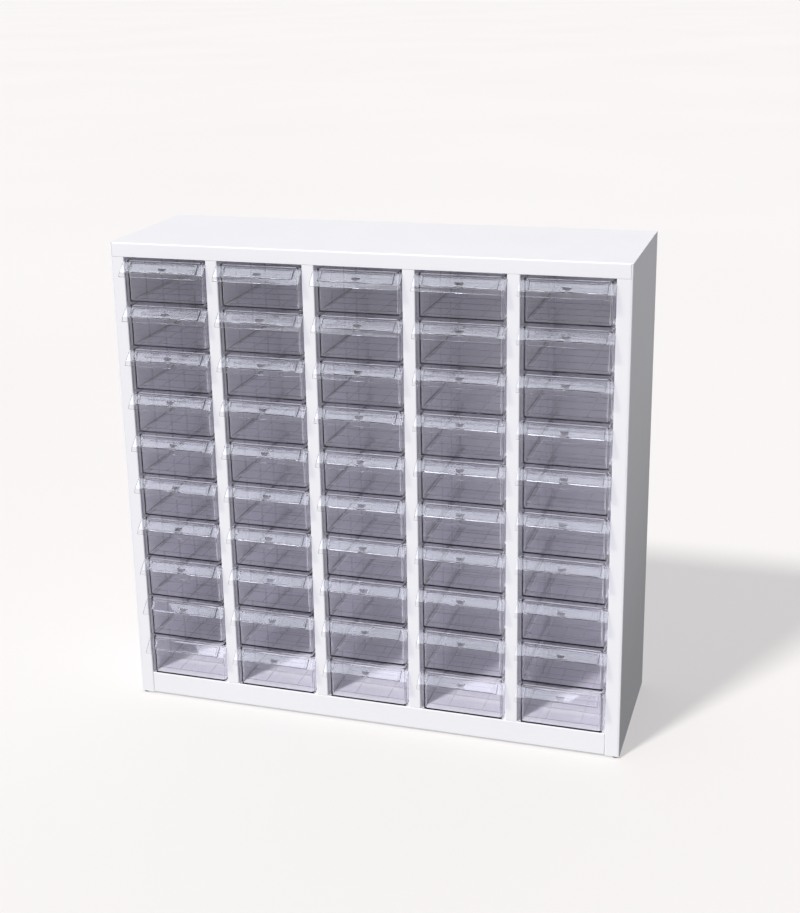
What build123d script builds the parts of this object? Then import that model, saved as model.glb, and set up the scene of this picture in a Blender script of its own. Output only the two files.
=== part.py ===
from build123d import *
import os

# A steel parts cabinet holding a grid of small clear plastic drawers.
# Millimetres. +X is to the right of someone facing the drawers, +Y is towards the back, +Z is up.
# The origin is on the surface that the feet stand on, under the middle of the whole object.

# Cabinet
columns = 5
rows = 10
cabinet_width = 640.0
cabinet_height = 610.0
cabinet_depth = 200.0
sheet = 1.0              # steel thickness
band_height = 17.5       # front edge of the top panel, above the drawers
rail_height = 29.7       # front edge of the bottom panel, below the drawers
post_width = 18.3        # front face of each side panel
strip_width = 15.6       # front face of each column divider
corner_width = 2.5       # the side panel's folded corner, which runs past the band to the top
band_lip = 12.0          # the fold behind the lower edge of the band
rail_lip = 20.0          # the fold behind the lower edge of the rail
rear_flange = 14.0       # folded flanges that the back panel is riveted to
back_recess = 2.0        # the back panel sits this far inside the rear edges
seam = 0.25              # the fine gap where two painted panels meet at the front

# Feet and rivets
foot_height = 2.5
foot_radius = 4.0
foot_inset = 5.5
rivet_radius = 3.2
rivet_height = 1.3
rivet_edge = 0.5
rivet_inset = 8.0
rivets_up = 5
rivets_across = 5

# Runners: a ledge on each side of every cell, which the drawers slide on
ledge_width = 9.0
ledge_setback = 28.0     # the ledge starts this far behind the front face
ledge_nose = 3.0         # the ledge's front end is folded down by this much

# Drawer: one moulding, a tray with a front plate and a slanting handle
plate_width = 105.6
plate_standoff = 0.4     # the front plate stands this far in front of the cabinet's face
plate_thickness = 1.8
drawer_height = 52.0
drawer_length = 186.0
drawer_clearance = 0.2   # between the drawer's floor and what it slides on
tray_width = 101.0
wall = 1.6
rim_width = 1.5
rim_height = 1.5
slot_rib = 1.0           # ribs inside the side walls, in pairs, that hold a divider
slot_gap = 2.2
slot_rib_height = 40.0
slot_pairs = 3
floor_rib_width = 1.4
floor_rib_height = 0.7
floor_rib_start = 14.0
floor_rib_pitch = 29.0
floor_rib_count = 6
floor_rib_offset = 21.5  # the two long ribs, each side of the middle

# Handle: a visor across the drawer's front that holds a label and that a finger hooks under
handle_width = 110.2
handle_top = 50.0        # height of its root on the front plate
handle_thickness = 1.6
knee_reach = 11.5
knee_drop = 10.3
tip_reach = 15.0
tip_drop = 15.4
label_width = 86.0
guide_width = 2.0
guide_height = 1.0
label_rail_width = 1.8
label_rail_height = 1.3
top_rail_width = 1.0
top_rail_height = 0.5
notch_top = 10.0
notch_bottom = 6.5
notch_height = 4.4
notch_lift = 0.9         # the notch's lower edge stands this far above the label rail
thumb_width = 9.0
thumb_depth = 2.8
thumb_height = 1.9

# Values that follow from those
half_width = cabinet_width / 2
object_depth = cabinet_depth + plate_standoff + tip_reach
front_y = plate_standoff + tip_reach - object_depth / 2
back_y = object_depth / 2
back_panel_y = back_y - back_recess - sheet
base_z = foot_height
top_z = base_z + cabinet_height
band_bottom = top_z - band_height
rail_top = base_z + rail_height
inner_half_width = half_width - post_width
opening_width = (2 * inner_half_width - (columns - 1) * strip_width) / columns
column_pitch = opening_width + strip_width
row_pitch = (band_bottom - rail_top) / rows


def block(x0, x1, y0, y1, z0, z1):
    """A box between two opposite corners."""
    middle = Pos((x0 + x1) / 2, (y0 + y1) / 2, (z0 + z1) / 2)
    return middle * Box(abs(x1 - x0), abs(y1 - y0), abs(z1 - z0))


def cell_centre_x(column):
    """Middle of a column of drawers, counted from 1 at the left."""
    return (column - (columns + 1) / 2) * column_pitch


def row_bottom_z(row):
    """Height of the surface that a row's drawers slide on, counted from 1 at the top."""
    return band_bottom - row * row_pitch


def make_top_panel():
    """Top sheet with a folded front band, the lip behind it and a rear flange."""
    deck = block(-half_width, half_width, front_y, back_y, top_z - sheet, top_z)
    band_x = half_width - corner_width - seam
    band = block(-band_x, band_x, front_y, front_y + sheet, band_bottom, top_z)
    lip = block(-inner_half_width, inner_half_width, front_y, front_y + band_lip, band_bottom, band_bottom + sheet)
    flange_x = half_width - rear_flange - 2.0
    flange = block(-flange_x, flange_x, back_panel_y - sheet, back_panel_y, top_z - rear_flange, top_z)
    return deck + band + lip + flange


def make_side_panel(side):
    """Outer skin, front post, inner wall, foot flange and rear flange, folded from one sheet."""
    outer = side * half_width
    skin_inside = side * (half_width - sheet)
    inner = side * inner_half_width
    wall_back = side * (inner_half_width + sheet)
    flange_edge = side * (half_width - rear_flange)
    corner_edge = side * (half_width - corner_width)
    skin = block(skin_inside, outer, front_y, back_y, base_z, top_z - sheet)
    corner = block(corner_edge, outer, front_y, front_y + sheet, base_z, top_z - sheet)
    post = block(inner, outer, front_y, front_y + sheet, base_z, band_bottom - seam)
    inner_wall = block(inner, wall_back, front_y, back_panel_y - 2 * sheet, base_z, band_bottom - seam)
    foot_flange = block(inner, outer, front_y, back_panel_y - 2 * sheet, base_z, base_z + sheet)
    flange = block(flange_edge, outer, back_panel_y - sheet, back_panel_y, base_z, top_z - sheet)
    return skin + corner + post + inner_wall + foot_flange + flange


def make_back_panel():
    """Flat sheet behind the cells, inside the rear edges of the shell."""
    edge = half_width - sheet
    return block(-edge, edge, back_panel_y, back_panel_y + sheet, base_z, top_z - sheet)


def make_bottom_panel():
    """Floor sheet of the lowest row, with a folded front rail and a rear leg."""
    edge = inner_half_width - seam
    deck = block(-edge, edge, front_y, back_panel_y, rail_top - sheet, rail_top)
    rail = block(-edge, edge, front_y, front_y + sheet, base_z, rail_top)
    lip = block(-edge, edge, front_y, front_y + rail_lip, base_z, base_z + sheet)
    leg = block(-edge, edge, back_panel_y - sheet, back_panel_y, base_z, rail_top)
    return deck + rail + lip + leg


def make_column_dividers():
    """A channel between each two columns, open at the back: a front strip and two walls."""
    channels = []
    for gap in range(1, columns):
        centre = (cell_centre_x(gap) + cell_centre_x(gap + 1)) / 2
        left = centre - strip_width / 2
        right = centre + strip_width / 2
        strip = block(left, right, front_y, front_y + sheet, rail_top + seam, band_bottom - seam)
        left_wall = block(left, left + sheet, front_y, back_panel_y, rail_top, band_bottom - seam)
        right_wall = block(right - sheet, right, front_y, back_panel_y, rail_top, band_bottom - seam)
        channels.append(strip + left_wall + right_wall)
    return channels


def make_runner(side):
    """One ledge at the origin: it is welded to the cell's wall at x = 0 and its top is at z = 0."""
    rear = back_panel_y - sheet
    front = front_y + ledge_setback
    ledge = block(0, -side * ledge_width, front, rear, -sheet, 0)
    nose = block(0, -side * ledge_width, front, front + sheet, -ledge_nose, 0)
    return ledge + nose


def make_drawer_runners():
    """Two runners under every drawer, except in the lowest row, which slides on the floor sheet."""
    runners = []
    for side in (-1, 1):
        runner = make_runner(side)
        for column in range(1, columns + 1):
            wall_x = cell_centre_x(column) + side * opening_width / 2
            for row in range(1, rows):
                runners.append(Pos(wall_x, 0, row_bottom_z(row)) * runner)
    return runners


def foot_positions():
    """Middle of each foot, as pairs of x and y."""
    places = []
    for x in (foot_inset - half_width, half_width - foot_inset):
        for y in (front_y + foot_inset, back_y - foot_inset - back_recess - 2 * sheet):
            places.append((x, y))
    return places


def make_feet():
    """Small round rubber feet under the corners."""
    foot = Cylinder(foot_radius, foot_height, align=(Align.CENTER, Align.CENTER, Align.MIN))
    return [Pos(x, y, 0) * foot for x, y in foot_positions()]


def make_back_rivets():
    """Rivet heads around the edge of the back panel."""
    head = Cylinder(rivet_radius, rivet_height, align=(Align.CENTER, Align.CENTER, Align.MIN))
    head = fillet(head.edges().group_by(Axis.Z)[-1], rivet_edge)
    head = Rot(-90, 0, 0) * head
    side_x = half_width - rivet_inset
    low_z = base_z + rivet_inset
    high_z = top_z - rivet_inset
    places = []
    for step in range(rivets_up):
        z = low_z + (high_z - low_z) * step / (rivets_up - 1)
        places.extend([(-side_x, z), (side_x, z)])
    for step in range(1, rivets_across - 1):
        x = -side_x + 2 * side_x * step / (rivets_across - 1)
        places.extend([(x, low_z), (x, high_z)])
    return [Pos(x, back_panel_y + sheet, z) * head for x, z in places]


def make_tray():
    """The drawer's box, with its front plate's outer face at y = 0 and its underside at z = 0."""
    outside = block(-tray_width / 2, tray_width / 2, 0, drawer_length, 0, drawer_height)
    inside_x = tray_width / 2 - wall
    inside = block(-inside_x, inside_x, plate_thickness, drawer_length - wall, wall, drawer_height + 1)
    plate = block(-plate_width / 2, plate_width / 2, 0, plate_thickness, 0, drawer_height)
    rim_x = tray_width / 2 + rim_width
    rim = block(-rim_x, rim_x, 0, drawer_length, drawer_height - rim_height, drawer_height)
    return outside + plate + rim - inside


def make_floor_ribs():
    """Shallow ribs across and along the tray's floor."""
    inside_x = tray_width / 2 - wall
    low = wall
    high = wall + floor_rib_height
    last_y = floor_rib_start + (floor_rib_count - 1) * floor_rib_pitch
    ribs = []
    for step in range(floor_rib_count):
        y = floor_rib_start + step * floor_rib_pitch
        ribs.append(block(-inside_x, inside_x, y, y + floor_rib_width, low, high))
    for x in (-floor_rib_offset, floor_rib_offset):
        ribs.append(block(x - floor_rib_width / 2, x + floor_rib_width / 2, floor_rib_start, last_y, low, high))
    return ribs


def make_slot_ribs():
    """Upright ribs on the side walls, in pairs, each pair a slot for a divider plate."""
    inside_x = tray_width / 2 - wall
    ribs = []
    for pair in range(1, slot_pairs + 1):
        middle = drawer_length * pair / (slot_pairs + 1)
        for near in (middle - slot_gap / 2 - slot_rib, middle + slot_gap / 2):
            for side in (-1, 1):
                rib = block(side * (inside_x - slot_rib), side * inside_x, near, near + slot_rib,
                            wall, wall + slot_rib_height)
                ribs.append(rib)
    return ribs


def make_handle():
    """The visor: a slope down and forwards from the front plate, then a steeper lip."""
    root = (0, handle_top)
    knee = (-knee_reach, handle_top - knee_drop)
    tip = (-tip_reach, handle_top - tip_drop)
    outline = offset(Polyline(root, knee, tip), amount=handle_thickness, side=Side.LEFT, kind=Kind.INTERSECTION)
    section = make_face(Plane.YZ * outline)
    visor = Pos(-handle_width / 2, 0, 0) * extrude(section, amount=handle_width, dir=(1, 0, 0))
    inside_drawer = block(-handle_width, handle_width, 0, 2 * handle_thickness, 0, drawer_height)
    return visor - inside_drawer


def make_label_holder():
    """Raised guides and rails round the label, on the slope, and the notch that is cut through it."""
    slope_length = (knee_reach ** 2 + knee_drop ** 2) ** 0.5
    slope = Plane(origin=(0, 0, handle_top), x_dir=(1, 0, 0), z_dir=(0, -knee_drop, knee_reach))
    guide_x = label_width / 2 + guide_width / 2
    guide_length = slope_length - top_rail_width
    raised = []
    for side in (-1, 1):
        guide = Box(guide_width, guide_length, guide_height, align=(Align.CENTER, Align.MIN, Align.MIN))
        raised.append(slope * Pos(side * guide_x, -slope_length, 0) * guide)
    rail = Box(label_width, label_rail_width, label_rail_height, align=(Align.CENTER, Align.MIN, Align.MIN))
    raised.append(slope * Pos(0, -slope_length, 0) * rail)
    top_rail = Box(label_width, top_rail_width, top_rail_height, align=(Align.CENTER, Align.MAX, Align.MIN))
    raised.append(slope * Pos(0, -top_rail_width, 0) * top_rail)
    thumb = Box(thumb_width, thumb_depth, thumb_height, align=(Align.CENTER, Align.MIN, Align.MIN))
    raised.append(slope * Pos(0, -slope_length, 0) * thumb)
    notch_low = label_rail_width + notch_lift - slope_length
    notch_high = notch_low + notch_height
    corners = [(-notch_bottom / 2, notch_low), (notch_bottom / 2, notch_low)]
    corners += [(notch_top / 2, notch_high), (-notch_top / 2, notch_high)]
    notch = extrude(slope * make_face(Polyline(*corners, close=True)), amount=4 * handle_thickness, both=True)
    return raised, notch


def make_drawer():
    """One clear drawer, as a single moulding."""
    raised, notch = make_label_holder()
    handle = make_handle() + raised - notch
    return make_tray() + make_floor_ribs() + make_slot_ribs() + handle


os.makedirs("parts", exist_ok=True)

export_step(make_top_panel(), "parts/top_panel.step")
export_step(make_side_panel(-1), "parts/left_side_panel.step")
export_step(make_side_panel(1), "parts/right_side_panel.step")
export_step(make_back_panel(), "parts/back_panel.step")
export_step(make_bottom_panel(), "parts/bottom_panel.step")
export_step(Compound(make_column_dividers()), "parts/column_dividers.step")
export_step(Compound(make_drawer_runners()), "parts/drawer_runners.step")
export_step(Compound(make_feet()), "parts/rubber_feet.step")
export_step(Compound(make_back_rivets()), "parts/back_rivets.step")

drawer = make_drawer()
drawer_y = front_y - plate_standoff
for row in range(1, rows + 1):
    for column in range(1, columns + 1):
        place = Pos(cell_centre_x(column), drawer_y, row_bottom_z(row) + drawer_clearance)
        export_step(place * drawer, f"parts/drawer_row{row:02d}_col{column}.step")
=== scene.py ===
import math

import bmesh
import bpy
from mathutils import Matrix, Vector


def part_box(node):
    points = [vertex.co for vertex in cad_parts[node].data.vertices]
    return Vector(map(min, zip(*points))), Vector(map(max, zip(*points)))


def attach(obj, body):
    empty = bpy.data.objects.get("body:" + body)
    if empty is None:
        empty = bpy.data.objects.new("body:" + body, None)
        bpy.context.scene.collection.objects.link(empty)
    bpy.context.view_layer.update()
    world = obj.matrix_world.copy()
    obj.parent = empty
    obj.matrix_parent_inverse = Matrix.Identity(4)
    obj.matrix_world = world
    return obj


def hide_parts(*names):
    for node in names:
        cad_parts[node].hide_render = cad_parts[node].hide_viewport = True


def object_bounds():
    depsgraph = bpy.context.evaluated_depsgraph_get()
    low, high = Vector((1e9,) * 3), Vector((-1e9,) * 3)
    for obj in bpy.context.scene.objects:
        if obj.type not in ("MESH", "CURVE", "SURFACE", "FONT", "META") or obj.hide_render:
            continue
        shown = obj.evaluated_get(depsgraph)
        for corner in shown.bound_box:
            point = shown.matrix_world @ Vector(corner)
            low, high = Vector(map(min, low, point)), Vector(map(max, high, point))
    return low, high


# A white steel cabinet of small clear drawers, in metres, in the frame of the CAD model.

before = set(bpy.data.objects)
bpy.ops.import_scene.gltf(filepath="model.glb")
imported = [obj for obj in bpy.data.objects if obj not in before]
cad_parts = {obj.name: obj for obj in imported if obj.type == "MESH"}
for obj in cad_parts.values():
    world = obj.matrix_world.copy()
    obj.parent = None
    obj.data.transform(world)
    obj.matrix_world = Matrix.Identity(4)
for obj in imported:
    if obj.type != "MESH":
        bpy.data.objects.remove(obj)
cad_low, cad_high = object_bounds()

mm = 0.001

# Places and sizes that come from the CAD model
top_low, top_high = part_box("top_panel")
left_low, left_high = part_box("left_side_panel")
bottom_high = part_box("bottom_panel")[1]
back_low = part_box("back_panel")[0]
dividers_low, dividers_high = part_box("column_dividers")
runners_low, runners_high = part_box("drawer_runners")
rivets_low, rivets_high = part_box("back_rivets")
feet_low, feet_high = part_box("rubber_feet")

half_width = top_high.x
front_y = top_low.y
back_y = top_high.y
base_z = left_low.z
top_z = top_high.z
band_bottom = top_low.z
rail_top = bottom_high.z
inner_half_width = -left_high.x
back_panel_y = back_low.y

drawer_names = sorted(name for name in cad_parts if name.startswith("drawer_row"))
rows = max(int(name[10:12]) for name in drawer_names)
columns = max(int(name[-1]) for name in drawer_names)


def drawer_box(row, column):
    """The lowest and highest corners of one drawer's CAD node."""
    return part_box(f"drawer_row{row:02d}_col{column}")


def column_x(column):
    """The middle of a column, across."""
    low, high = drawer_box(1, column)
    return (low.x + high.x) / 2


column_pitch = column_x(2) - column_x(1)
strip_width = (dividers_high.x - dividers_low.x) - (columns - 2) * column_pitch
opening_width = column_pitch - strip_width

# Sheet metal
sheet = 1.0 * mm
fold_radius = 1.3 * mm       # of a fold's middle line
post_fold = 0.7              # of fold_radius
channel_fold = 0.8           # of fold_radius
cut_edge = 0.22 * mm         # rounding of a cut edge under its paint
deck_edge = 0.45 * mm
seam = 0.25 * mm             # gap between two sheets that meet
corner_width = 2.5 * mm      # of the side panels past the ends of the front band
corner_overlap = 0.05 * mm
band_lip = 12 * mm
rail_lip = 20 * mm
rear_flange = 14 * mm
flange_gap = 2 * mm

# Runners
ledge_width = 9 * mm
ledge_nose = 3 * mm
ledge_edge = 0.2 * mm
ledge_fold_edge = 0.25 * mm

# Feet and rivets
hub = 0.001 * mm             # radius of the small hole in the middle of a turned piece's ends
foot_radius = 4 * mm
foot_hollow = 1.5 * mm
foot_hollow_depth = 0.35 * mm
foot_sides = 32
rivet_radius = 3.2 * mm
rivet_brim = 0.2 * mm
rivet_sides = 24
rivets_a_side = 5

# Drawer. Its own frame has the front plate's outer face at y = 0 and its underside at z = 0.
plate_width = 105.6 * mm
plate_thickness = 1.8 * mm
drawer_height = 52 * mm
drawer_length = 186 * mm
drawer_clearance = 0.2 * mm
tray_width = 101 * mm
tray_wall = 1.6 * mm
tray_corner = 4 * mm
tray_front = 0.3 * mm        # behind the plate's outer face
tray_overlap = 0.1 * mm      # of the plate's back over the tray's front wall
rim_width = 1.5 * mm
rim_height = 1.5 * mm
rim_edge = 0.3 * mm
plate_corner = 1.6 * mm
plate_edge = 0.35 * mm
plate_inset = 0.02 * mm
rib_root = 0.3 * mm          # how far a rib is sunk into the floor or wall
rib_edge = 0.2 * mm
slot_rib = 0.5 * mm
slot_rib_edge = 0.25 * mm
slot_gap = 2.2 * mm
slot_rib_height = 40 * mm
slot_pairs = 3
floor_rib_width = 1.4 * mm
floor_rib_height = 0.3 * mm
floor_rib_start = 14 * mm
floor_rib_pitch = 29 * mm
floor_rib_count = 6
floor_rib_offset = 21.5 * mm
floor_rib_step = 0.04 * mm   # by which the ribs that run back are lower than those across

# Handle
handle_width = 110.2 * mm
handle_top = 50 * mm
handle_thickness = 1.6 * mm
knee_reach = 11.5 * mm
knee_drop = 10.3 * mm
tip_reach = 15 * mm
tip_drop = 15.4 * mm
knee_radius = 3 * mm
handle_edge = 0.32 * mm
handle_root = 1.2 * mm       # of the visor inside the plate
holder_root = 0.4 * mm       # how far the label holder is sunk into the visor
label_width = 86 * mm
guide_width = 3 * mm
guide_height = 1.7 * mm
guide_edge = 0.3 * mm
label_rail_width = 1.8 * mm
label_rail_edge = 0.5 * mm
label_rail_height = 1.7 * mm
top_rail_width = 1 * mm
top_rail_height = 0.9 * mm
top_rail_edge = 0.2 * mm
rail_overlap = 0.3 * mm      # of a rail into the guides at its ends
notch_top = 10.5 * mm
notch_bottom = 7.5 * mm
notch_height = 5.2 * mm
notch_lift = 0.7 * mm
notch_steps = 8
notch_flare = 1.12           # of the two ends of its lower edge
notch_round = 0.45           # share of its height that the lower edge's curve takes
thumb_width = 9 * mm
thumb_depth = 2.8 * mm
thumb_height = 1.9 * mm
thumb_edge = 0.8 * mm
thumb_overhang = 0.1 * mm
weld_distance = 0.002 * mm

# Colours
paint_tone = (0.872, 0.875, 0.915)
paint_warm = (0.985, 0.975, 0.97)        # of paint_tone
paint_dusty = (0.975, 0.975, 0.98)       # of paint_tone
clear_tone = (0.992, 0.989, 1.0)
clear_tone_deep = (0.98, 0.977, 0.995)
# painted shade: the colour the visor's rounded rims darken to where they turn edge on to the view
visor_rim_shade = (0.2, 0.2, 0.27)
pass_facing = (0.99, 0.987, 0.996)       # light let through a wall met square on
pass_slanted = (0.62, 0.62, 0.66)        # light let through a wall met edge on
pass_visor = (0.87, 0.87, 0.9)
rubber_tone = (0.035, 0.035, 0.04)
rubber_dust = (0.085, 0.083, 0.08)
rivet_tone = (0.66, 0.66, 0.68)
rivet_mark = (0.5, 0.5, 0.52)
floor_tone = (0.44, 0.43, 0.43)
floor_tone_low = (0.42, 0.41, 0.41)
floor_glow = (1.0, 0.975, 0.965)
floor_glow_strength = 0.45
backdrop_tone = (0.955, 0.93, 0.92)
sky_tone = (0.975, 0.98, 1.0)

# Stage
floor_size = 60.0
key_strength = 3.0
key_angle = math.radians(7)
key_tone = (1.0, 0.985, 0.97)
key_direction = (0.30, 0.57, -0.76)
overhead_size = (2.2, 1.9)
overhead_power = 49.0
overhead_tone = (0.92, 0.97, 1.08)
overhead_towards = (-0.30, -0.18, 0.94)
overhead_distance = 3.2
wash_power = 10.0
wash_cone = math.radians(50)
wash_softness = 0.15
wash_offset = (1.2, 0.1, 0.12)           # from the top of the right side
sky_level = 0.32
sky_lean = (-0.27, -0.26, -0.075)        # brighter in front, on the left and below
sky_behind = (0.0, 0.38, 0.22)           # a glow behind and above

# Camera: its place is in cabinet widths from the cabinet's lower front left corner
camera_sensor = 36.0
camera_lens = 58.07
camera_shift = (0.0341, -0.0633)
camera_stand = (1.34202, -2.49390, 1.47226)
camera_ahead = (-0.30074, 0.90862, -0.28976)
camera_up = (-0.06870, 0.28239, 0.95684)
camera_reach = 200.0


# ---------------------------------------------------------------- mesh helpers

def block(bm, low, high, edge=0.0, placed=Matrix.Identity(4)):
    """Adds a box between two corners, with rounded edges, to bm."""
    low, high = Vector(low), Vector(high)
    made = bmesh.ops.create_cube(bm, size=1.0)["verts"]
    middle = (low + high) / 2
    for vert in made:
        vert.co = Vector((vert.co[i] * (high[i] - low[i]) + middle[i] for i in range(3)))
    if edge:
        edges = list({e for vert in made for e in vert.link_edges})
        result = bmesh.ops.bevel(bm, geom=edges, offset=edge, segments=2, profile=0.5,
                                 affect="EDGES")
        made = list({vert for face in result["faces"] for vert in face.verts})
    bmesh.ops.transform(bm, matrix=placed, verts=made)


def loft(bm, rings):
    """Joins rings of points into a closed skin, capped at the first and last ring."""
    made = [[bm.verts.new(point) for point in ring] for ring in rings]
    for near, far in zip(made, made[1:]):
        for i in range(len(near)):
            j = (i + 1) % len(near)
            bm.faces.new((near[i], near[j], far[j], far[i]))
    bm.faces.new(reversed(made[0]))
    bm.faces.new(made[-1])


def rounded_rectangle(half_x, low, high, radius, steps=5):
    """A rectangle's outline in its own two axes, with round corners."""
    points = []
    for corner, (x, v) in enumerate(((half_x, high), (-half_x, high), (-half_x, low), (half_x, low))):
        inside_x = x - math.copysign(radius, x)
        inside_v = v - radius if v == high else v + radius
        for step in range(steps + 1):
            angle = math.pi / 2 * (corner + step / steps)
            points.append((inside_x + radius * math.cos(angle), inside_v + radius * math.sin(angle)))
    return points


def rounded_path(points, radius, steps=5):
    """Points along a 2-D line whose corners are rounded, each with the normal on its left."""
    path = []
    points = [Vector(point) for point in points]
    for i, point in enumerate(points):
        before = (point - points[i - 1]).normalized() if i else (points[1] - point).normalized()
        after = (points[i + 1] - point).normalized() if i + 1 < len(points) else before
        turn = math.atan2(before.cross(after), before.dot(after))
        if abs(turn) < 1e-6:
            path.append((point, Vector((-before.y, before.x))))
            continue
        start = point - before * radius * math.tan(abs(turn) / 2)
        side = math.copysign(1.0, turn)
        centre = start + Vector((-before.y, before.x)) * radius * side
        for step in range(steps + 1):
            spin = Matrix.Rotation(turn * step / steps, 2)
            ahead = spin @ before
            path.append((centre + spin @ (start - centre), Vector((-ahead.y, ahead.x))))
    return path


def bent_strip(bm, points, thickness, radius, low, high, place, edge=cut_edge):
    """Adds a folded strip whose section's middle line is points, from low to high along the third axis.

    place(a, b, run) turns a point of the section, and its distance along the strip, into X, Y and Z.
    """
    path = rounded_path(points, radius)
    left = [point + normal * thickness / 2 for point, normal in path]
    right = [point - normal * thickness / 2 for point, normal in path]
    outline = left + right[::-1]
    ends = [[bm.verts.new(place(p.x, p.y, run)) for p in outline] for run in (low, high)]
    count = len(outline)
    faces = []
    for i in range(count):
        j = (i + 1) % count
        faces.append(bm.faces.new((ends[0][i], ends[0][j], ends[1][j], ends[1][i])))
    for ring in ends:
        for i in range(len(left) - 1):
            faces.append(bm.faces.new((ring[i], ring[i + 1], ring[count - 2 - i], ring[count - 1 - i])))
    bmesh.ops.recalc_face_normals(bm, faces=faces)
    verts = {vert for face in faces for vert in face.verts}
    edges = {e for vert in verts for e in vert.link_edges}
    sharp = [e for e in edges if e.calc_face_angle(0) > math.radians(60)]
    bmesh.ops.bevel(bm, geom=sharp, offset=edge, segments=2, profile=0.5, affect="EDGES",
                    clamp_overlap=True)


def turned(bm, profile, steps, placed):
    """Adds a solid of revolution: profile is (radius, height) from the axis round to the axis."""
    rings = []
    for radius, height in profile:
        ring = []
        for step in range(steps):
            angle = 2 * math.pi * step / steps
            ring.append(placed @ Vector((radius * math.cos(angle), radius * math.sin(angle), height)))
        rings.append(ring)
    loft(bm, rings)


def finish_mesh(bm, name, smooth_angle=35):
    """Turns bm into a mesh that is smooth except at sharp edges, and whose large flat faces shade flat."""
    bmesh.ops.recalc_face_normals(bm, faces=bm.faces)
    for face in bm.faces:
        face.smooth = True
    for edge in bm.edges:
        edge.smooth = edge.calc_face_angle(0) < math.radians(smooth_angle)
    rough = bpy.data.meshes.new(name + "_rough")
    bm.to_mesh(rough)
    bm.free()
    holder = bpy.data.objects.new(name + "_rough", rough)
    bpy.context.scene.collection.objects.link(holder)
    evened = holder.modifiers.new("normals", "WEIGHTED_NORMAL")
    evened.mode = "FACE_AREA"
    evened.weight = 100
    evened.keep_sharp = True
    mesh = settled_mesh(holder)
    mesh.name = name
    bpy.data.objects.remove(holder)
    return mesh


def settled_mesh(piece):
    """The mesh of a piece with its modifiers applied."""
    graph = bpy.context.evaluated_depsgraph_get()
    graph.update()
    return bpy.data.meshes.new_from_object(piece.evaluated_get(graph), preserve_all_data_layers=True,
                                           depsgraph=graph)


def add_piece(name, mesh, material, body, nodes):
    """Puts a mesh in the scene as a piece that rides on body and stands for the CAD nodes."""
    piece = bpy.data.objects.new(name, mesh)
    bpy.context.scene.collection.objects.link(piece)
    mesh.materials.append(material)
    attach(piece, body)
    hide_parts(*nodes)


# ---------------------------------------------------------------- materials

class Shader:
    """A new material's node tree, with short calls for its nodes."""

    def __init__(self, name):
        self.material = bpy.data.materials.new(name)
        self.material.use_nodes = True
        self.nodes = self.material.node_tree.nodes
        self.links = self.material.node_tree.links
        self.nodes.clear()
        self.place = self.nodes.new("ShaderNodeTexCoord").outputs["Object"]

    def link(self, source, target):
        """Links an output to an input."""
        self.links.new(source, target)

    def noise(self, scale, detail, rough=0.5, stretch=None):
        """Noise of this many cells a metre, from 0 to 1."""
        node = self.nodes.new("ShaderNodeTexNoise")
        node.inputs["Scale"].default_value = scale
        node.inputs["Detail"].default_value = detail
        node.inputs["Roughness"].default_value = rough
        if stretch:
            mapping = self.nodes.new("ShaderNodeMapping")
            mapping.inputs["Scale"].default_value = stretch
            self.link(self.place, mapping.inputs["Vector"])
            self.link(mapping.outputs[0], node.inputs["Vector"])
        else:
            self.link(self.place, node.inputs["Vector"])
        return node.outputs["Fac"]

    def spread(self, value, low, high, start=0.3, end=0.7):
        """Maps value from start to end onto low to high."""
        node = self.nodes.new("ShaderNodeMapRange")
        node.inputs["From Min"].default_value = start
        node.inputs["From Max"].default_value = end
        node.inputs["To Min"].default_value = low
        node.inputs["To Max"].default_value = high
        self.link(value, node.inputs["Value"])
        return node.outputs[0]

    def product(self, first, second):
        """Multiplies two values."""
        node = self.nodes.new("ShaderNodeMath")
        node.operation = "MULTIPLY"
        self.link(first, node.inputs[0])
        self.link(second, node.inputs[1])
        return node.outputs[0]

    def blend(self, factor, first, second):
        """Mixes two colours."""
        node = self.nodes.new("ShaderNodeMix")
        node.data_type = "RGBA"
        self.link(factor, node.inputs[0])
        for colour, socket in ((first, node.inputs[6]), (second, node.inputs[7])):
            if isinstance(colour, tuple):
                socket.default_value = (*colour, 1)
            else:
                self.link(colour, socket)
        return node.outputs[2]

    def bump(self, height, distance, strength, under=None):
        """A normal from a height pattern, over another normal if one is given."""
        node = self.nodes.new("ShaderNodeBump")
        node.inputs["Strength"].default_value = strength
        node.inputs["Distance"].default_value = distance
        self.link(height, node.inputs["Height"])
        if under:
            self.link(under, node.inputs["Normal"])
        return node.outputs[0]

    def principled(self, **sockets):
        """A Principled shader. Keys are socket names with _ for a space.

        A value is a number, a colour or another node's output.
        """
        node = self.nodes.new("ShaderNodeBsdfPrincipled")
        for key, value in sockets.items():
            socket = node.inputs[key.replace("_", " ")]
            if isinstance(value, (int, float)):
                socket.default_value = value
            elif isinstance(value, tuple):
                socket.default_value = (*value, 1)
            else:
                self.link(value, socket)
        return node.outputs[0]

    def done(self, surface):
        """The material, with this shader as its surface."""
        output = self.nodes.new("ShaderNodeOutputMaterial")
        self.link(surface, output.inputs["Surface"])
        return self.material


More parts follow.
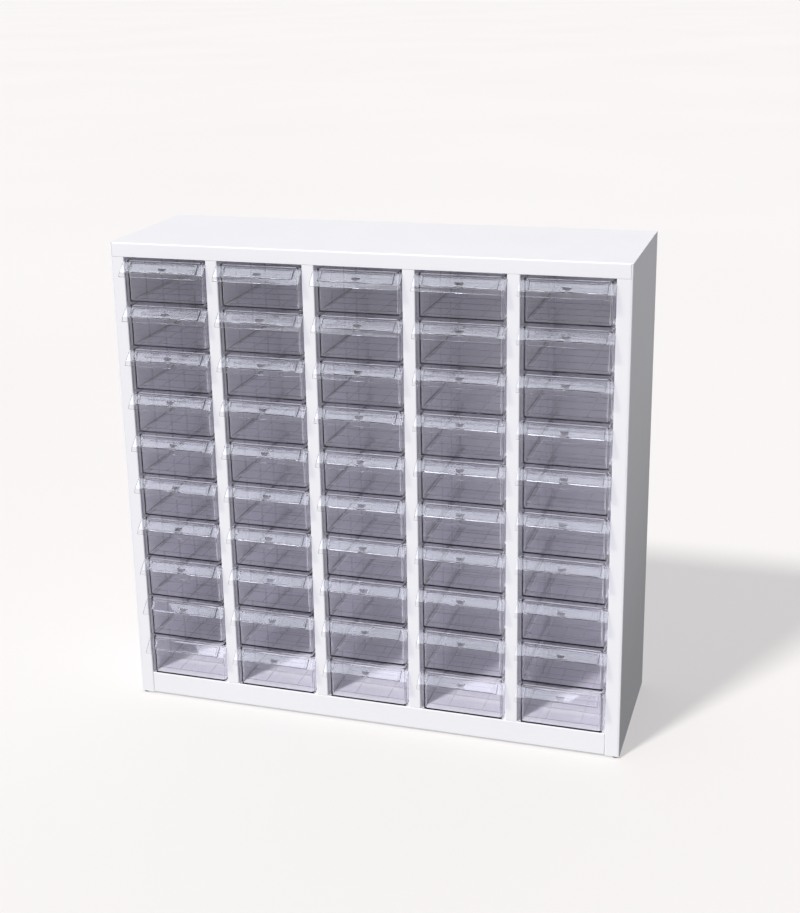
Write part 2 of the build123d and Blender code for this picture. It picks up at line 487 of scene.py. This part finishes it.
def powder_coat(name):
    """White powder coat on sheet steel: fine orange peel, a slightly wavy sheet, faint tone changes."""
    s = Shader(name)
    cloud = s.spread(s.noise(7, 3), 0, 1)
    fine = s.spread(s.noise(160, 2), 0, 1)
    warm = tuple(part * share for part, share in zip(paint_tone, paint_warm))
    dusty = tuple(part * share for part, share in zip(paint_tone, paint_dusty))
    colour = s.blend(cloud, paint_tone, warm)
    colour = s.blend(s.spread(fine, 0, 0.35), colour, dusty)
    wave = s.bump(s.noise(5.5, 1), 0.9 * mm, 0.35)
    peel = s.bump(s.noise(850, 2), 0.03 * mm, 0.5, under=wave)
    rough = s.spread(s.noise(40, 3), 0.33, 0.43)
    return s.done(s.principled(Base_Color=colour, Roughness=rough, Normal=peel, Coat_Weight=0.15,
                               Coat_Roughness=0.18, Specular_IOR_Level=0.5))


def clear_plastic(name):
    """Clear moulded polystyrene with a faint lilac cast, slight flow waves and fine handling marks.

    The visor, which is all that lies in front of the plate, has painted shade at its rounded rims:
    its colour darkens where they turn edge on to the view, standing in for the dark outline that
    refraction gives there. Light on its way to another surface goes straight through the plastic.
    """
    s = Shader(name)
    tint = s.blend(s.spread(s.noise(22, 2), 0, 1), clear_tone, clear_tone_deep)
    slant = s.nodes.new("ShaderNodeLayerWeight")
    split = s.nodes.new("ShaderNodeSeparateXYZ")
    s.link(s.place, split.inputs[0])
    visor = s.spread(split.outputs["Y"], 1, 0, -2 * mm, 0)
    # Painted shade: the visor's colour darkens towards its rims as they turn edge on to the view, in place
    # of the dark outline that refraction gives
    rim = s.product(visor, s.spread(slant.outputs["Facing"], 0, 1, 0.42, 0.7))
    tint = s.blend(rim, tint, visor_rim_shade)
    flow = s.bump(s.noise(38, 1.5, stretch=(1.0, 0.35, 1.0)), 0.25 * mm, 0.02)
    scuff = s.spread(s.noise(260, 3, 0.6), 0.01, 0.04, 0.45, 0.8)
    surface = s.principled(Base_Color=tint, Roughness=scuff, Normal=flow, Transmission_Weight=1.0,
                           IOR=1.49)
    path = s.nodes.new("ShaderNodeLightPath")
    passing = s.nodes.new("ShaderNodeBsdfTransparent")
    edge_on = s.spread(slant.outputs["Facing"], 0, 1, 0.6, 1.0)
    dimming = s.blend(visor, s.blend(edge_on, pass_facing, pass_slanted), pass_visor)
    s.link(dimming, passing.inputs["Color"])
    for kind in ("Is Diffuse Ray", "Is Shadow Ray"):
        mix = s.nodes.new("ShaderNodeMixShader")
        s.link(path.outputs[kind], mix.inputs[0])
        s.link(surface, mix.inputs[1])
        s.link(passing.outputs[0], mix.inputs[2])
        surface = mix.outputs[0]
    return s.done(surface)


def foot_rubber(name):
    """Dark rubber with a dry, slightly dusty surface."""
    s = Shader(name)
    dust = s.spread(s.noise(420, 3), 0, 1, 0.45, 0.8)
    colour = s.blend(dust, rubber_tone, rubber_dust)
    grain = s.bump(s.noise(1500, 3), 0.06 * mm, 0.7)
    rough = s.spread(dust, 0.6, 0.85, 0, 1)
    return s.done(s.principled(Base_Color=colour, Roughness=rough, Normal=grain))


def rivet_metal(name):
    """Dull aluminium with light scratches."""
    s = Shader(name)
    marks = s.noise(900, 4, 0.7, stretch=(1.0, 1.0, 0.15))
    colour = s.blend(s.spread(marks, 0, 1), rivet_tone, rivet_mark)
    grain = s.bump(marks, 0.03 * mm, 0.6)
    rough = s.spread(marks, 0.3, 0.5)
    return s.done(s.principled(Base_Color=colour, Metallic=1.0, Roughness=rough, Normal=grain))


def stage_surface(name):
    """A plain pale floor with a very faint tone change."""
    s = Shader(name)
    colour = s.blend(s.spread(s.noise(0.6, 2), 0, 1), floor_tone, floor_tone_low)
    return s.done(s.principled(Base_Color=colour, Roughness=0.9, Specular_IOR_Level=0.1,
                               Emission_Color=floor_glow, Emission_Strength=floor_glow_strength))


white_paint = powder_coat("white_powder_coat")
plastic = clear_plastic("clear_polystyrene")
rubber = foot_rubber("foot_rubber")
rivet_steel = rivet_metal("rivet_metal")


# ---------------------------------------------------------------- cabinet

def across(a, b, run):
    """A section in Y and Z that runs along X."""
    return (run, a, b)


def upright(a, b, run):
    """A section in X and Y that runs along Z."""
    return (a, b, run)


def make_top_panel():
    """Lip, front band and deck folded from one sheet, the deck's side edges and the rear flange."""
    bm = bmesh.new()
    half = sheet / 2
    band_x = half_width - corner_width - seam
    section = [(front_y + half, band_bottom), (front_y + half, top_z - half), (back_y, top_z - half)]
    bent_strip(bm, section, sheet, fold_radius, -band_x, band_x, across)
    lip_section = [(front_y + band_lip, band_bottom + half), (front_y + sheet * 0.6, band_bottom + half)]
    bent_strip(bm, lip_section, sheet, fold_radius, -inner_half_width, inner_half_width, across)
    for side in (-1, 1):
        near, far = sorted((side * (band_x - sheet), side * half_width))
        block(bm, (near, front_y, top_z - sheet), (far, back_y, top_z), deck_edge)
    flange_x = half_width - rear_flange - flange_gap
    flange = [(back_panel_y - half, top_z - rear_flange), (back_panel_y - half, top_z - half)]
    bent_strip(bm, flange, sheet, fold_radius, -flange_x, flange_x, across)
    return finish_mesh(bm, "top_panel_folded")


def make_side_panel(side):
    """The outer skin with its rounded front corner, and the post with its inner wall and flanges."""
    bm = bmesh.new()
    half = sheet / 2
    outer = side * (half_width - half)
    corner_edge = side * (half_width - corner_width)
    skin = [(outer, back_y), (outer, front_y + half), (corner_edge, front_y + half)]
    bent_strip(bm, skin, sheet, fold_radius, base_z, top_z - sheet, upright)
    wall_x = side * (inner_half_width + half)
    wall_end = back_panel_y - 2 * sheet
    post = [(side * (half_width - corner_width - corner_overlap), front_y + half),
            (wall_x, front_y + half), (wall_x, wall_end)]
    bent_strip(bm, post, sheet, fold_radius * post_fold, base_z, band_bottom - seam, upright)
    near, far = sorted((side * inner_half_width, side * half_width))
    block(bm, (near, front_y + half, base_z), (far, wall_end, base_z + sheet), cut_edge)
    near, far = sorted((side * (half_width - rear_flange), outer))
    block(bm, (near, back_panel_y - sheet, base_z), (far, back_panel_y, top_z - sheet), cut_edge)
    return finish_mesh(bm, "side_panel_folded")


def make_bottom_panel():
    """Lip, rail, floor sheet and rear leg folded from one sheet."""
    bm = bmesh.new()
    half = sheet / 2
    edge_x = inner_half_width - seam
    section = [(front_y + rail_lip, base_z + half), (front_y + half, base_z + half),
               (front_y + half, rail_top - half), (back_panel_y - half, rail_top - half),
               (back_panel_y - half, base_z)]
    bent_strip(bm, section, sheet, fold_radius, -edge_x, edge_x, across)
    return finish_mesh(bm, "bottom_panel_folded")


def make_column_dividers():
    """A folded channel between each two columns."""
    bm = bmesh.new()
    half = sheet / 2
    for column in range(1, columns):
        middle = (column_x(column) + column_x(column + 1)) / 2
        near, far = middle - strip_width / 2 + half, middle + strip_width / 2 - half
        section = [(near, back_panel_y), (near, front_y + half), (far, front_y + half), (far, back_panel_y)]
        bent_strip(bm, section, sheet, fold_radius * channel_fold, rail_top, band_bottom - seam,
                   upright)
    return finish_mesh(bm, "column_dividers_folded")


def make_runners():
    """A ledge on each side of every cell above the lowest row, turned down at its front and inner edge."""
    bm = bmesh.new()
    nose_y = runners_low.y + sheet / 2
    for column in range(1, columns + 1):
        for side in (-1, 1):
            wall_x = column_x(column) + side * opening_width / 2
            for row in range(1, rows):
                ledge_z = drawer_box(row, column)[0].z - drawer_clearance
                inner = wall_x - side * ledge_width
                near, far = sorted((wall_x, inner))
                section = [(nose_y, ledge_z - ledge_nose), (nose_y, ledge_z - sheet / 2),
                           (runners_high.y, ledge_z - sheet / 2)]
                bent_strip(bm, section, sheet, fold_radius, near, far, across, ledge_edge)
                near, far = sorted((inner, inner + side * sheet))
                block(bm, (near, nose_y, ledge_z - ledge_nose), (far, runners_high.y, ledge_z),
                      ledge_fold_edge)
    return finish_mesh(bm, "drawer_runners_folded")


def make_feet():
    """Round rubber feet with a rounded lower edge and a shallow hollow underneath."""
    bm = bmesh.new()
    height = feet_high.z - feet_low.z
    radius = foot_radius
    profile = [(hub, foot_hollow_depth), (foot_hollow, foot_hollow_depth), (1.8 * mm, 0.0),
               (radius - 0.7 * mm, 0.0), (radius - 0.2 * mm, 0.2 * mm), (radius, 0.7 * mm),
               (radius, height), (hub, height)]
    for x in (feet_low.x + radius, feet_high.x - radius):
        for y in (feet_low.y + radius, feet_high.y - radius):
            turned(bm, profile, foot_sides, Matrix.Translation((x, y, feet_low.z)))
    return finish_mesh(bm, "rubber_feet_turned")


def make_rivets():
    """Domed blind rivets round the edge of the back panel, each with the hole of its mandrel."""
    bm = bmesh.new()
    radius = rivet_radius
    height = rivets_high.y - rivets_low.y
    profile = [(hub, 0.0), (radius, 0.0), (radius, rivet_brim), (radius * 0.85, height * 0.62),
               (radius * 0.6, height * 0.9), (radius * 0.36, height), (radius * 0.3, height * 0.95),
               (radius * 0.28, height * 0.6), (hub, height * 0.6)]
    low_x, high_x = rivets_low.x + radius, rivets_high.x - radius
    low_z, high_z = rivets_low.z + radius, rivets_high.z - radius
    places = []
    for step in range(rivets_a_side):
        share = step / (rivets_a_side - 1)
        for x in (low_x, high_x):
            places.append((x, low_z + (high_z - low_z) * share))
        if 0 < share < 1:
            for z in (low_z, high_z):
                places.append((low_x + (high_x - low_x) * share, z))
    for x, z in places:
        spin = Matrix.Translation((x, rivets_low.y, z)) @ Matrix.Rotation(math.radians(-90), 4, "X")
        turned(bm, profile, rivet_sides, spin)
    return finish_mesh(bm, "back_rivets_domed")


# ---------------------------------------------------------------- drawer

def make_tray():
    """The drawer's box: round corners, a rim round the top and a rounded floor edge, as one skin."""
    bm = bmesh.new()
    outer_x = tray_width / 2
    rim = rim_width
    rim_low = drawer_height - rim_height
    inner_front = plate_thickness + tray_overlap
    rings = []

    def outside(grow, z):
        outline = rounded_rectangle(outer_x + grow, tray_front - min(grow, 0),
                                    drawer_length + min(grow, 0), tray_corner + grow)
        rings.append([(x, y, z) for x, y in outline])

    def inside(shrink, z):
        outline = rounded_rectangle(outer_x - tray_wall - shrink, inner_front + shrink,
                                    drawer_length - tray_wall - shrink, tray_corner - tray_wall * 0.6)
        rings.append([(x, y, z) for x, y in outline])

    for grow, z in ((-0.5 * mm, 0.0), (-0.15 * mm, 0.15 * mm), (0.0, 0.5 * mm),
                    (0.0, rim_low - rim_edge), (rim_edge, rim_low),
                    (rim - 0.2 * mm, rim_low + 0.05 * mm), (rim, rim_low + 0.25 * mm),
                    (rim, drawer_height - 0.35 * mm), (rim - rim_edge, drawer_height - 0.05 * mm)):
        outside(grow, z)
    for shrink, z in ((-rim_edge, drawer_height - 0.05 * mm), (0.0, drawer_height - 0.35 * mm),
                      (0.0, tray_wall + 0.5 * mm), (0.15 * mm, tray_wall + 0.15 * mm),
                      (0.5 * mm, tray_wall)):
        inside(shrink, z)
    loft(bm, rings)
    return bm


def make_plate():
    """The front plate, a slab with rounded edges that stands out past the tray on both sides."""
    bm = bmesh.new()
    edge = plate_edge
    thick = plate_thickness - tray_overlap
    rings = []
    for inset, y in ((edge, 0.0), (0.1 * mm, 0.1 * mm), (0.0, edge), (0.0, thick - edge), (edge, thick)):
        outline = rounded_rectangle(plate_width / 2 - inset, inset + plate_inset,
                                    drawer_height - inset - plate_inset, plate_corner - inset)
        rings.append([(x, y, z) for x, z in outline])
    loft(bm, rings)
    return bm


def handle_line():
    """The middle line of the visor's section, in Y and Z, from inside the front plate to its tip."""
    root = Vector((0.0, handle_top))
    knee = Vector((-knee_reach, handle_top - knee_drop))
    tip = Vector((-tip_reach, handle_top - tip_drop))
    slope = (knee - root).normalized()
    lip = (tip - knee).normalized()
    half = handle_thickness / 2
    slope_in = Vector((-slope.y, slope.x)) * half
    lip_in = Vector((-lip.y, lip.x)) * half
    mitre = (slope_in + lip_in).normalized()
    mitre *= half / mitre.dot(slope_in.normalized())
    start = root + slope_in - slope * handle_root
    return [start, knee + mitre, tip + lip_in]


def make_handle():
    """The visor across the front."""
    bm = bmesh.new()
    half = handle_width / 2
    bent_strip(bm, handle_line(), handle_thickness, knee_radius, -half, half, across, handle_edge)
    return bm


def slope_frame():
    """The frame of the visor's sloping upper face: X across, Y up the slope, Z out of it."""
    up = Vector((0, knee_reach, knee_drop)).normalized()
    out = Vector((0, -knee_drop, knee_reach)).normalized()
    lean = Matrix((Vector((1, 0, 0)), up, out)).transposed().to_4x4()
    return Matrix.Translation((0, 0, handle_top)) @ lean


slope_length = math.hypot(knee_reach, knee_drop)


def make_label_holder():
    """Raised side guides, rails and the thumb bump, each sunk a little into the slope."""
    bm = bmesh.new()
    placed = slope_frame()
    sunk = -holder_root
    guide_x = label_width / 2 + guide_width / 2
    rail_x = label_width / 2 + rail_overlap
    for side in (-1, 1):
        block(bm, (side * guide_x - guide_width / 2, -slope_length, sunk),
              (side * guide_x + guide_width / 2, -top_rail_width, guide_height), guide_edge, placed)
    block(bm, (-rail_x, -slope_length, sunk),
          (rail_x, label_rail_width - slope_length, label_rail_height), label_rail_edge, placed)
    block(bm, (-rail_x, -2 * top_rail_width, sunk),
          (rail_x, -top_rail_width, top_rail_height), top_rail_edge, placed)
    block(bm, (-thumb_width / 2, -slope_length - thumb_overhang, sunk),
          (thumb_width / 2, thumb_depth - slope_length, thumb_height), thumb_edge, placed)
    return bm


def make_notch():
    """The cutter for the notch: straight above, tapering to a rounded lower edge."""
    bm = bmesh.new()
    low = label_rail_width + notch_lift - slope_length
    high = low + notch_height
    outline = [(notch_top / 2, high), (-notch_top / 2, high)]
    for step in range(notch_steps + 1):
        angle = math.pi + math.pi * step / notch_steps
        x = notch_bottom / 2 * math.cos(angle) * (notch_flare if step in (0, notch_steps) else 1.0)
        outline.append((x, low + notch_height * notch_round * (1 + math.sin(angle))))
    placed = slope_frame()
    depth = 4 * handle_thickness
    loft(bm, [[placed @ Vector((x, y, z)) for x, y in outline] for z in (-depth, depth)])
    return bm


def make_ribs():
    """Floor ribs, and pairs of upright ribs that hold a divider plate."""
    bm = bmesh.new()
    inside_x = tray_width / 2 - tray_wall
    low = tray_wall - rib_root
    high = tray_wall + floor_rib_height
    last_y = floor_rib_start + (floor_rib_count - 1) * floor_rib_pitch
    rib_x = inside_x + 0.2 * mm
    for step in range(floor_rib_count):
        y = floor_rib_start + step * floor_rib_pitch
        block(bm, (-rib_x, y, low), (rib_x, y + floor_rib_width, high), rib_edge)
    for x in (-floor_rib_offset, floor_rib_offset):
        half = floor_rib_width / 2
        block(bm, (x - half, floor_rib_start + 0.3 * mm, low),
              (x + half, last_y + 0.5 * mm, high - floor_rib_step), rib_edge)
    for pair in range(1, slot_pairs + 1):
        middle = drawer_length * pair / (slot_pairs + 1)
        for near in (middle - slot_gap / 2 - slot_rib, middle + slot_gap / 2):
            for side in (-1, 1):
                a, b = sorted((side * (inside_x - slot_rib), side * (inside_x + rib_root)))
                block(bm, (a, near, low), (b, near + slot_rib, tray_wall + slot_rib_height),
                      slot_rib_edge)
    return bm


def as_object(name, bm):
    """A closed mesh as a loose object."""
    part = bpy.data.objects.new(name, finish_mesh(bm, name))
    bpy.context.scene.collection.objects.link(part)
    return part


def combined(base, operation, others):
    """Unites base with, or cuts it by, the other objects, which are then removed."""
    for other in others:
        step = base.modifiers.new(other.name, "BOOLEAN")
        step.operation = operation
        step.solver = "EXACT"
        step.use_self = True
        step.object = other
    mesh = settled_mesh(base)
    base.modifiers.clear()
    base.data = mesh
    for other in others:
        bpy.data.objects.remove(other)


def make_drawer():
    """One clear drawer as one skin."""
    drawer = as_object("drawer_build", make_tray())
    parts = [("plate", make_plate), ("handle", make_handle), ("holder", make_label_holder),
             ("ribs", make_ribs)]
    combined(drawer, "UNION", [as_object(name, maker()) for name, maker in parts])
    combined(drawer, "DIFFERENCE", [as_object("notch", make_notch())])
    bm = bmesh.new()
    bm.from_mesh(drawer.data)
    bmesh.ops.remove_doubles(bm, verts=bm.verts, dist=weld_distance)
    bmesh.ops.dissolve_degenerate(bm, edges=bm.edges, dist=weld_distance)
    bpy.data.objects.remove(drawer)
    return finish_mesh(bm, "clear_drawer", 30)


# ---------------------------------------------------------------- pieces

def add_cabinet():
    """The steel shell and what is fixed to it."""
    painted = (
        ("cabinet_top", make_top_panel(), "top_panel"),
        ("cabinet_side_left", make_side_panel(-1), "left_side_panel"),
        ("cabinet_side_right", make_side_panel(1), "right_side_panel"),
        ("cabinet_base", make_bottom_panel(), "bottom_panel"),
        ("cabinet_dividers", make_column_dividers(), "column_dividers"),
        ("cabinet_runners", make_runners(), "drawer_runners"),
    )
    for name, mesh, node in painted:
        add_piece(name, mesh, white_paint, "cabinet", [node])
    add_piece("cabinet_feet", make_feet(), rubber, "cabinet", ["rubber_feet"])
    add_piece("cabinet_back_rivets", make_rivets(), rivet_steel, "cabinet", ["back_rivets"])
    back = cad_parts["back_panel"]
    for place in back.material_slots:
        place.material = white_paint


def add_drawers():
    """Every drawer shares one mesh and rides on its own body."""
    mesh = make_drawer()
    mesh.materials.append(plastic)
    for name in drawer_names:
        low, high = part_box(name)
        piece = bpy.data.objects.new(name.replace("drawer_", "clear_drawer_"), mesh)
        bpy.context.scene.collection.objects.link(piece)
        piece.location = ((low.x + high.x) / 2, low.y + tip_reach, low.z)
        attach(piece, name)
        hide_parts(name)


# ---------------------------------------------------------------- stage, light and camera

def add_stage():
    """A plain pale floor. Light from below comes from the surroundings, not from the floor."""
    mesh = bpy.data.meshes.new("floor")
    bm = bmesh.new()
    bmesh.ops.create_grid(bm, x_segments=1, y_segments=1, size=floor_size)
    bm.to_mesh(mesh)
    bm.free()
    mesh.materials.append(stage_surface("pale_floor"))
    floor = bpy.data.objects.new("floor", mesh)
    floor.location = (0, 0, cad_low.z)
    bpy.context.scene.collection.objects.link(floor)
    floor.visible_diffuse = False
    floor.visible_shadow = False
    floor.visible_glossy = False


def add_light(name, kind, power, direction, place=(0, 0, 0)):
    """Adds a light that shines along direction, and returns its object."""
    data = bpy.data.lights.new(name, kind)
    data.energy = power
    light = bpy.data.objects.new(name, data)
    bpy.context.scene.collection.objects.link(light)
    light.location = place
    light.rotation_euler = Vector(direction).to_track_quat("-Z", "Y").to_euler()
    return light


def add_lights():
    """Soft daylight from the upper front left, a wide soft box overhead and a wash on the right side.

    The key and the wash show in no reflection. The soft box shows only in reflections and through plastic.
    """
    key = add_light("key", "SUN", key_strength, key_direction)
    key.data.angle = key_angle
    key.data.color = key_tone

    centre = Vector((0, 0, (base_z + top_z) / 2))
    towards = Vector(overhead_towards).normalized()
    overhead = add_light("overhead", "AREA", overhead_power, -towards, centre + towards * overhead_distance)
    overhead.data.shape = "RECTANGLE"
    overhead.data.size, overhead.data.size_y = overhead_size
    overhead.data.color = overhead_tone
    overhead.visible_diffuse = False

    wash = add_light("side_wash", "SPOT", wash_power, -Vector(wash_offset),
                     Vector((half_width, 0, top_z)) + Vector(wash_offset))
    wash.data.spot_size = wash_cone
    wash.data.spot_blend = 1.0
    wash.data.shadow_soft_size = wash_softness

    for light in (key, wash):
        light.visible_glossy = False
        light.visible_transmission = False


def add_surroundings():
    """Pale surroundings, brightest in front and on the left, with a glow high up behind.

    The camera itself sees a plain backdrop of the floor's colour past the floor's edge.
    """
    world = bpy.data.worlds.new("surroundings")
    bpy.context.scene.world = world
    world.use_nodes = True
    nodes, links = world.node_tree.nodes, world.node_tree.links
    nodes.clear()
    place = nodes.new("ShaderNodeTexCoord").outputs["Generated"]

    def along(direction, operation, number):
        """How far a ray points along direction, combined with a number by operation."""
        share = nodes.new("ShaderNodeVectorMath")
        share.operation = "DOT_PRODUCT"
        share.inputs[1].default_value = direction
        links.new(place, share.inputs[0])
        result = nodes.new("ShaderNodeMath")
        result.operation = operation
        result.inputs[1].default_value = number
        links.new(share.outputs["Value"], result.inputs[0])
        return result.outputs[0]

    total = nodes.new("ShaderNodeMath")
    links.new(along(sky_lean, "ADD", sky_level), total.inputs[0])
    links.new(along(sky_behind, "MAXIMUM", 0.0), total.inputs[1])
    sky = nodes.new("ShaderNodeBackground")
    sky.inputs["Color"].default_value = (*sky_tone, 1)
    links.new(total.outputs[0], sky.inputs["Strength"])
    backdrop = nodes.new("ShaderNodeBackground")
    backdrop.inputs["Color"].default_value = (*backdrop_tone, 1)
    ray = nodes.new("ShaderNodeLightPath")
    seen = nodes.new("ShaderNodeMixShader")
    links.new(ray.outputs["Is Camera Ray"], seen.inputs[0])
    links.new(sky.outputs[0], seen.inputs[1])
    links.new(backdrop.outputs[0], seen.inputs[2])
    output = nodes.new("ShaderNodeOutputWorld")
    links.new(seen.outputs[0], output.inputs["Surface"])


def add_camera():
    """Stands a little right of the cabinet and above it, looking left and down at its front."""
    corner = Vector((-half_width, front_y, base_z))
    data = bpy.data.cameras.new("camera")
    data.sensor_width = camera_sensor
    data.lens = camera_lens
    data.shift_x, data.shift_y = camera_shift
    data.clip_end = camera_reach
    camera = bpy.data.objects.new("camera", data)
    bpy.context.scene.collection.objects.link(camera)
    ahead = Vector(camera_ahead).normalized()
    right = ahead.cross(Vector(camera_up).normalized()).normalized()
    up = right.cross(ahead)
    turn = Matrix((right, up, -ahead)).transposed()
    stand = corner + 2 * half_width * Vector(camera_stand)
    camera.matrix_world = Matrix.Translation(stand) @ turn.to_4x4()
    bpy.context.scene.camera = camera


def set_look():
    """Light paths long enough for many clear walls, and plain colour."""
    scene = bpy.context.scene
    scene.cycles.max_bounces = 28
    scene.cycles.transmission_bounces = 26
    scene.cycles.transparent_max_bounces = 40
    scene.cycles.glossy_bounces = 6
    scene.cycles.diffuse_bounces = 4
    scene.cycles.caustics_reflective = False
    scene.cycles.caustics_refractive = False
    scene.cycles.sample_clamp_indirect = 6.0
    scene.cycles.use_denoising = True
    scene.view_settings.view_transform = "Standard"
    scene.view_settings.look = "None"


add_camera()
add_cabinet()
add_drawers()
add_stage()
add_lights()
add_surroundings()
set_look()

bpy.context.view_layer.update()
